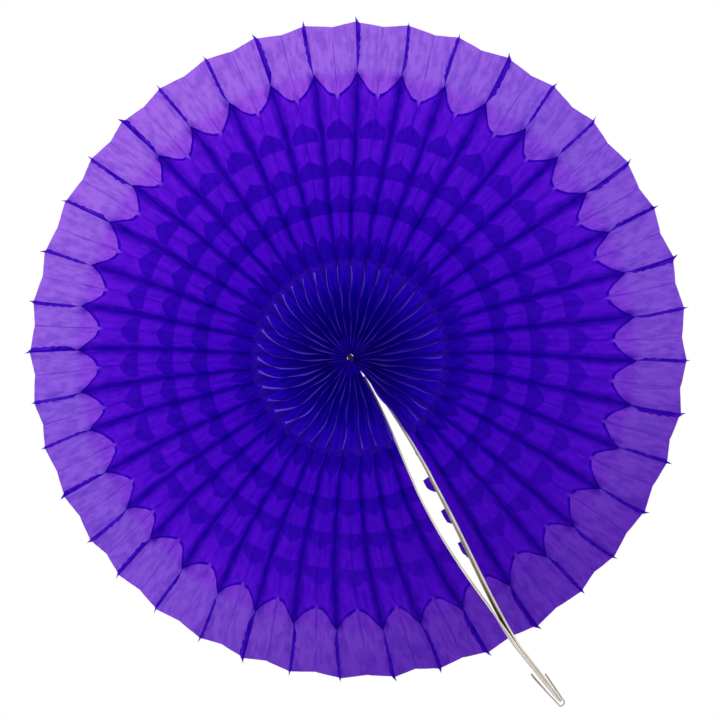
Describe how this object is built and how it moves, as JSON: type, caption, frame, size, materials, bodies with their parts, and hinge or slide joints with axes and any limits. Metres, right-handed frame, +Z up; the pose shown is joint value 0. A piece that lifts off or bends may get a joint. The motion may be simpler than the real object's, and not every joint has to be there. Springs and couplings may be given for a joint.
{
  "type": "honeycomb tissue fan",
  "caption": "Round honeycomb tissue paper fan opened full circle, on two chipboard end boards that fold back round its hub, with a paper clip over the board ends.",
  "frame": {"origin": "centre of the hub where the leaves' inner ends meet, half way between the boards' front and rear edges", "axes": "+Z up as the fan hangs, -Y towards the viewer, along the hub's axis, +X to the viewer's right"},
  "size_m": [0.5, 0.0836, 0.5104],
  "materials": {
    "tissue": "matte",
    "chipboard": "matte",
    "thread": "matte",
    "clip_wire": "satin"
  },
  "bodies": {
    "left_board": {"board_left": "chipboard", "hub_thread": "thread"},
    "right_board": {"board_right": "chipboard"},
    "clip": {"paper_clip": "clip_wire"},
    "pair_01": {"tissue_pair_01": "tissue"},
    "pair_02": {"tissue_pair_02": "tissue"},
    "pair_03": {"tissue_pair_03": "tissue"},
    "pair_04": {"tissue_pair_04": "tissue"},
    "pair_05": {"tissue_pair_05": "tissue"},
    "pair_06": {"tissue_pair_06": "tissue"},
    "pair_07": {"tissue_pair_07": "tissue"},
    "pair_08": {"tissue_pair_08": "tissue"},
    "pair_09": {"tissue_pair_09": "tissue"},
    "pair_10": {"tissue_pair_10": "tissue"},
    "pair_11": {"tissue_pair_11": "tissue"},
    "pair_12": {"tissue_pair_12": "tissue"},
    "pair_13": {"tissue_pair_13": "tissue"},
    "pair_14": {"tissue_pair_14": "tissue"},
    "pair_15": {"tissue_pair_15": "tissue"},
    "pair_16": {"tissue_pair_16": "tissue"},
    "pair_17": {"tissue_pair_17": "tissue"},
    "pair_18": {"tissue_pair_18": "tissue"},
    "pair_19": {"tissue_pair_19": "tissue"},
    "pair_20": {"tissue_pair_20": "tissue"},
    "pair_21": {"tissue_pair_21": "tissue"},
    "pair_22": {"tissue_pair_22": "tissue"},
    "pair_23": {"tissue_pair_23": "tissue"},
    "pair_24": {"tissue_pair_24": "tissue"},
    "pair_25": {"tissue_pair_25": "tissue"},
    "pair_26": {"tissue_pair_26": "tissue"},
    "pair_27": {"tissue_pair_27": "tissue"},
    "pair_28": {"tissue_pair_28": "tissue"},
    "pair_29": {"tissue_pair_29": "tissue"},
    "pair_30": {"tissue_pair_30": "tissue"},
    "pair_31": {"tissue_pair_31": "tissue"},
    "pair_32": {"tissue_pair_32": "tissue"},
    "pair_33": {"tissue_pair_33": "tissue"},
    "pair_34": {"tissue_pair_34": "tissue"},
    "pair_35": {"tissue_pair_35": "tissue"},
    "pair_36": {"tissue_pair_36": "tissue"},
    "pair_37": {"tissue_pair_37": "tissue"},
    "pair_38": {"tissue_pair_38": "tissue"},
    "pair_39": {"tissue_pair_39": "tissue"},
    "pair_40": {"tissue_pair_40": "tissue"}
  },
  "joints": [
    {"name": "fan_fold", "type": "hinge", "parent": "left_board", "child": "right_board", "pos_m": [0, 0, 0], "axis": [0, -1, 0], "range_deg": [0, 348]},
    {"name": "clip_pull", "type": "slide", "parent": "left_board", "child": "clip", "axis": [0.6157, 0, -0.788], "range_m": [0, 0.04]},
    {"name": "pair_01_fold", "type": "hinge", "parent": "left_board", "child": "pair_01", "pos_m": [0, 0, 0], "axis": [0, -1, 0], "range_deg": [0, 4.85], "deforming": ["tissue_pair_01"]},
    {"name": "pair_02_fold", "type": "hinge", "parent": "left_board", "child": "pair_02", "pos_m": [0, 0, 0], "axis": [0, -1, 0], "range_deg": [0, 13.55], "deforming": ["tissue_pair_02"]},
    {"name": "pair_03_fold", "type": "hinge", "parent": "left_board", "child": "pair_03", "pos_m": [0, 0, 0], "axis": [0, -1, 0], "range_deg": [0, 22.25], "deforming": ["tissue_pair_03"]},
    {"name": "pair_04_fold", "type": "hinge", "parent": "left_board", "child": "pair_04", "pos_m": [0, 0, 0], "axis": [0, -1, 0], "range_deg": [0, 30.95], "deforming": ["tissue_pair_04"]},
    {"name": "pair_05_fold", "type": "hinge", "parent": "left_board", "child": "pair_05", "pos_m": [0, 0, 0], "axis": [0, -1, 0], "range_deg": [0, 39.65], "deforming": ["tissue_pair_05"]},
    {"name": "pair_06_fold", "type": "hinge", "parent": "left_board", "child": "pair_06", "pos_m": [0, 0, 0], "axis": [0, -1, 0], "range_deg": [0, 48.35], "deforming": ["tissue_pair_06"]},
    {"name": "pair_07_fold", "type": "hinge", "parent": "left_board", "child": "pair_07", "pos_m": [0, 0, 0], "axis": [0, -1, 0], "range_deg": [0, 57.05], "deforming": ["tissue_pair_07"]},
    {"name": "pair_08_fold", "type": "hinge", "parent": "left_board", "child": "pair_08", "pos_m": [0, 0, 0], "axis": [0, -1, 0], "range_deg": [0, 65.75], "deforming": ["tissue_pair_08"]},
    {"name": "pair_09_fold", "type": "hinge", "parent": "left_board", "child": "pair_09", "pos_m": [0, 0, 0], "axis": [0, -1, 0], "range_deg": [0, 74.45], "deforming": ["tissue_pair_09"]},
    {"name": "pair_10_fold", "type": "hinge", "parent": "left_board", "child": "pair_10", "pos_m": [0, 0, 0], "axis": [0, -1, 0], "range_deg": [0, 83.15], "deforming": ["tissue_pair_10"]},
    {"name": "pair_11_fold", "type": "hinge", "parent": "left_board", "child": "pair_11", "pos_m": [0, 0, 0], "axis": [0, -1, 0], "range_deg": [0, 91.85], "deforming": ["tissue_pair_11"]},
    {"name": "pair_12_fold", "type": "hinge", "parent": "left_board", "child": "pair_12", "pos_m": [0, 0, 0], "axis": [0, -1, 0], "range_deg": [0, 100.55], "deforming": ["tissue_pair_12"]},
    {"name": "pair_13_fold", "type": "hinge", "parent": "left_board", "child": "pair_13", "pos_m": [0, 0, 0], "axis": [0, -1, 0], "range_deg": [0, 109.25], "deforming": ["tissue_pair_13"]},
    {"name": "pair_14_fold", "type": "hinge", "parent": "left_board", "child": "pair_14", "pos_m": [0, 0, 0], "axis": [0, -1, 0], "range_deg": [0, 117.95], "deforming": ["tissue_pair_14"]},
    {"name": "pair_15_fold", "type": "hinge", "parent": "left_board", "child": "pair_15", "pos_m": [0, 0, 0], "axis": [0, -1, 0], "range_deg": [0, 126.65], "deforming": ["tissue_pair_15"]},
    {"name": "pair_16_fold", "type": "hinge", "parent": "left_board", "child": "pair_16", "pos_m": [0, 0, 0], "axis": [0, -1, 0], "range_deg": [0, 135.35], "deforming": ["tissue_pair_16"]},
    {"name": "pair_17_fold", "type": "hinge", "parent": "left_board", "child": "pair_17", "pos_m": [0, 0, 0], "axis": [0, -1, 0], "range_deg": [0, 144.05], "deforming": ["tissue_pair_17"]},
    {"name": "pair_18_fold", "type": "hinge", "parent": "left_board", "child": "pair_18", "pos_m": [0, 0, 0], "axis": [0, -1, 0], "range_deg": [0, 152.75], "deforming": ["tissue_pair_18"]},
    {"name": "pair_19_fold", "type": "hinge", "parent": "left_board", "child": "pair_19", "pos_m": [0, 0, 0], "axis": [0, -1, 0], "range_deg": [0, 161.45], "deforming": ["tissue_pair_19"]},
    {"name": "pair_20_fold", "type": "hinge", "parent": "left_board", "child": "pair_20", "pos_m": [0, 0, 0], "axis": [0, -1, 0], "range_deg": [0, 170.15], "deforming": ["tissue_pair_20"]},
    {"name": "pair_21_fold", "type": "hinge", "parent": "left_board", "child": "pair_21", "pos_m": [0, 0, 0], "axis": [0, -1, 0], "range_deg": [0, 178.85], "deforming": ["tissue_pair_21"]},
    {"name": "pair_22_fold", "type": "hinge", "parent": "left_board", "child": "pair_22", "pos_m": [0, 0, 0], "axis": [0, -1, 0], "range_deg": [0, 187.55], "deforming": ["tissue_pair_22"]},
    {"name": "pair_23_fold", "type": "hinge", "parent": "left_board", "child": "pair_23", "pos_m": [0, 0, 0], "axis": [0, -1, 0], "range_deg": [0, 196.25], "deforming": ["tissue_pair_23"]},
    {"name": "pair_24_fold", "type": "hinge", "parent": "left_board", "child": "pair_24", "pos_m": [0, 0, 0], "axis": [0, -1, 0], "range_deg": [0, 204.95], "deforming": ["tissue_pair_24"]},
    {"name": "pair_25_fold", "type": "hinge", "parent": "left_board", "child": "pair_25", "pos_m": [0, 0, 0], "axis": [0, -1, 0], "range_deg": [0, 213.65], "deforming": ["tissue_pair_25"]},
    {"name": "pair_26_fold", "type": "hinge", "parent": "left_board", "child": "pair_26", "pos_m": [0, 0, 0], "axis": [0, -1, 0], "range_deg": [0, 222.35], "deforming": ["tissue_pair_26"]},
    {"name": "pair_27_fold", "type": "hinge", "parent": "left_board", "child": "pair_27", "pos_m": [0, 0, 0], "axis": [0, -1, 0], "range_deg": [0, 231.05], "deforming": ["tissue_pair_27"]},
    {"name": "pair_28_fold", "type": "hinge", "parent": "left_board", "child": "pair_28", "pos_m": [0, 0, 0], "axis": [0, -1, 0], "range_deg": [0, 239.75], "deforming": ["tissue_pair_28"]},
    {"name": "pair_29_fold", "type": "hinge", "parent": "left_board", "child": "pair_29", "pos_m": [0, 0, 0], "axis": [0, -1, 0], "range_deg": [0, 248.45], "deforming": ["tissue_pair_29"]},
    {"name": "pair_30_fold", "type": "hinge", "parent": "left_board", "child": "pair_30", "pos_m": [0, 0, 0], "axis": [0, -1, 0], "range_deg": [0, 257.15], "deforming": ["tissue_pair_30"]},
    {"name": "pair_31_fold", "type": "hinge", "parent": "left_board", "child": "pair_31", "pos_m": [0, 0, 0], "axis": [0, -1, 0], "range_deg": [0, 265.85], "deforming": ["tissue_pair_31"]},
    {"name": "pair_32_fold", "type": "hinge", "parent": "left_board", "child": "pair_32", "pos_m": [0, 0, 0], "axis": [0, -1, 0], "range_deg": [0, 274.55], "deforming": ["tissue_pair_32"]},
    {"name": "pair_33_fold", "type": "hinge", "parent": "left_board", "child": "pair_33", "pos_m": [0, 0, 0], "axis": [0, -1, 0], "range_deg": [0, 283.25], "deforming": ["tissue_pair_33"]},
    {"name": "pair_34_fold", "type": "hinge", "parent": "left_board", "child": "pair_34", "pos_m": [0, 0, 0], "axis": [0, -1, 0], "range_deg": [0, 291.95], "deforming": ["tissue_pair_34"]},
    {"name": "pair_35_fold", "type": "hinge", "parent": "left_board", "child": "pair_35", "pos_m": [0, 0, 0], "axis": [0, -1, 0], "range_deg": [0, 300.65], "deforming": ["tissue_pair_35"]},
    {"name": "pair_36_fold", "type": "hinge", "parent": "left_board", "child": "pair_36", "pos_m": [0, 0, 0], "axis": [0, -1, 0], "range_deg": [0, 309.35], "deforming": ["tissue_pair_36"]},
    {"name": "pair_37_fold", "type": "hinge", "parent": "left_board", "child": "pair_37", "pos_m": [0, 0, 0], "axis": [0, -1, 0], "range_deg": [0, 318.05], "deforming": ["tissue_pair_37"]},
    {"name": "pair_38_fold", "type": "hinge", "parent": "left_board", "child": "pair_38", "pos_m": [0, 0, 0], "axis": [0, -1, 0], "range_deg": [0, 326.75], "deforming": ["tissue_pair_38"]},
    {"name": "pair_39_fold", "type": "hinge", "parent": "left_board", "child": "pair_39", "pos_m": [0, 0, 0], "axis": [0, -1, 0], "range_deg": [0, 335.45], "deforming": ["tissue_pair_39"]},
    {"name": "pair_40_fold", "type": "hinge", "parent": "left_board", "child": "pair_40", "pos_m": [0, 0, 0], "axis": [0, -1, 0], "range_deg": [0, 344.15], "deforming": ["tissue_pair_40"]}
  ],
  "couplings": [
    {"joint": "pair_01_fold", "follows": "fan_fold", "ratio": 0.0125},
    {"joint": "pair_02_fold", "follows": "fan_fold", "ratio": 0.0375},
    {"joint": "pair_03_fold", "follows": "fan_fold", "ratio": 0.0625},
    {"joint": "pair_04_fold", "follows": "fan_fold", "ratio": 0.0875},
    {"joint": "pair_05_fold", "follows": "fan_fold", "ratio": 0.1125},
    {"joint": "pair_06_fold", "follows": "fan_fold", "ratio": 0.1375},
    {"joint": "pair_07_fold", "follows": "fan_fold", "ratio": 0.1625},
    {"joint": "pair_08_fold", "follows": "fan_fold", "ratio": 0.1875},
    {"joint": "pair_09_fold", "follows": "fan_fold", "ratio": 0.2125},
    {"joint": "pair_10_fold", "follows": "fan_fold", "ratio": 0.2375},
    {"joint": "pair_11_fold", "follows": "fan_fold", "ratio": 0.2625},
    {"joint": "pair_12_fold", "follows": "fan_fold", "ratio": 0.2875},
    {"joint": "pair_13_fold", "follows": "fan_fold", "ratio": 0.3125},
    {"joint": "pair_14_fold", "follows": "fan_fold", "ratio": 0.3375},
    {"joint": "pair_15_fold", "follows": "fan_fold", "ratio": 0.3625},
    {"joint": "pair_16_fold", "follows": "fan_fold", "ratio": 0.3875},
    {"joint": "pair_17_fold", "follows": "fan_fold", "ratio": 0.4125},
    {"joint": "pair_18_fold", "follows": "fan_fold", "ratio": 0.4375},
    {"joint": "pair_19_fold", "follows": "fan_fold", "ratio": 0.4625},
    {"joint": "pair_20_fold", "follows": "fan_fold", "ratio": 0.4875},
    {"joint": "pair_21_fold", "follows": "fan_fold", "ratio": 0.5125},
    {"joint": "pair_22_fold", "follows": "fan_fold", "ratio": 0.5375},
    {"joint": "pair_23_fold", "follows": "fan_fold", "ratio": 0.5625},
    {"joint": "pair_24_fold", "follows": "fan_fold", "ratio": 0.5875},
    {"joint": "pair_25_fold", "follows": "fan_fold", "ratio": 0.6125},
    {"joint": "pair_26_fold", "follows": "fan_fold", "ratio": 0.6375},
    {"joint": "pair_27_fold", "follows": "fan_fold", "ratio": 0.6625},
    {"joint": "pair_28_fold", "follows": "fan_fold", "ratio": 0.6875},
    {"joint": "pair_29_fold", "follows": "fan_fold", "ratio": 0.7125},
    {"joint": "pair_30_fold", "follows": "fan_fold", "ratio": 0.7375},
    {"joint": "pair_31_fold", "follows": "fan_fold", "ratio": 0.7625},
    {"joint": "pair_32_fold", "follows": "fan_fold", "ratio": 0.7875},
    {"joint": "pair_33_fold", "follows": "fan_fold", "ratio": 0.8125},
    {"joint": "pair_34_fold", "follows": "fan_fold", "ratio": 0.8375},
    {"joint": "pair_35_fold", "follows": "fan_fold", "ratio": 0.8625},
    {"joint": "pair_36_fold", "follows": "fan_fold", "ratio": 0.8875},
    {"joint": "pair_37_fold", "follows": "fan_fold", "ratio": 0.9125},
    {"joint": "pair_38_fold", "follows": "fan_fold", "ratio": 0.9375},
    {"joint": "pair_39_fold", "follows": "fan_fold", "ratio": 0.9625},
    {"joint": "pair_40_fold", "follows": "fan_fold", "ratio": 0.9875}
  ]
}
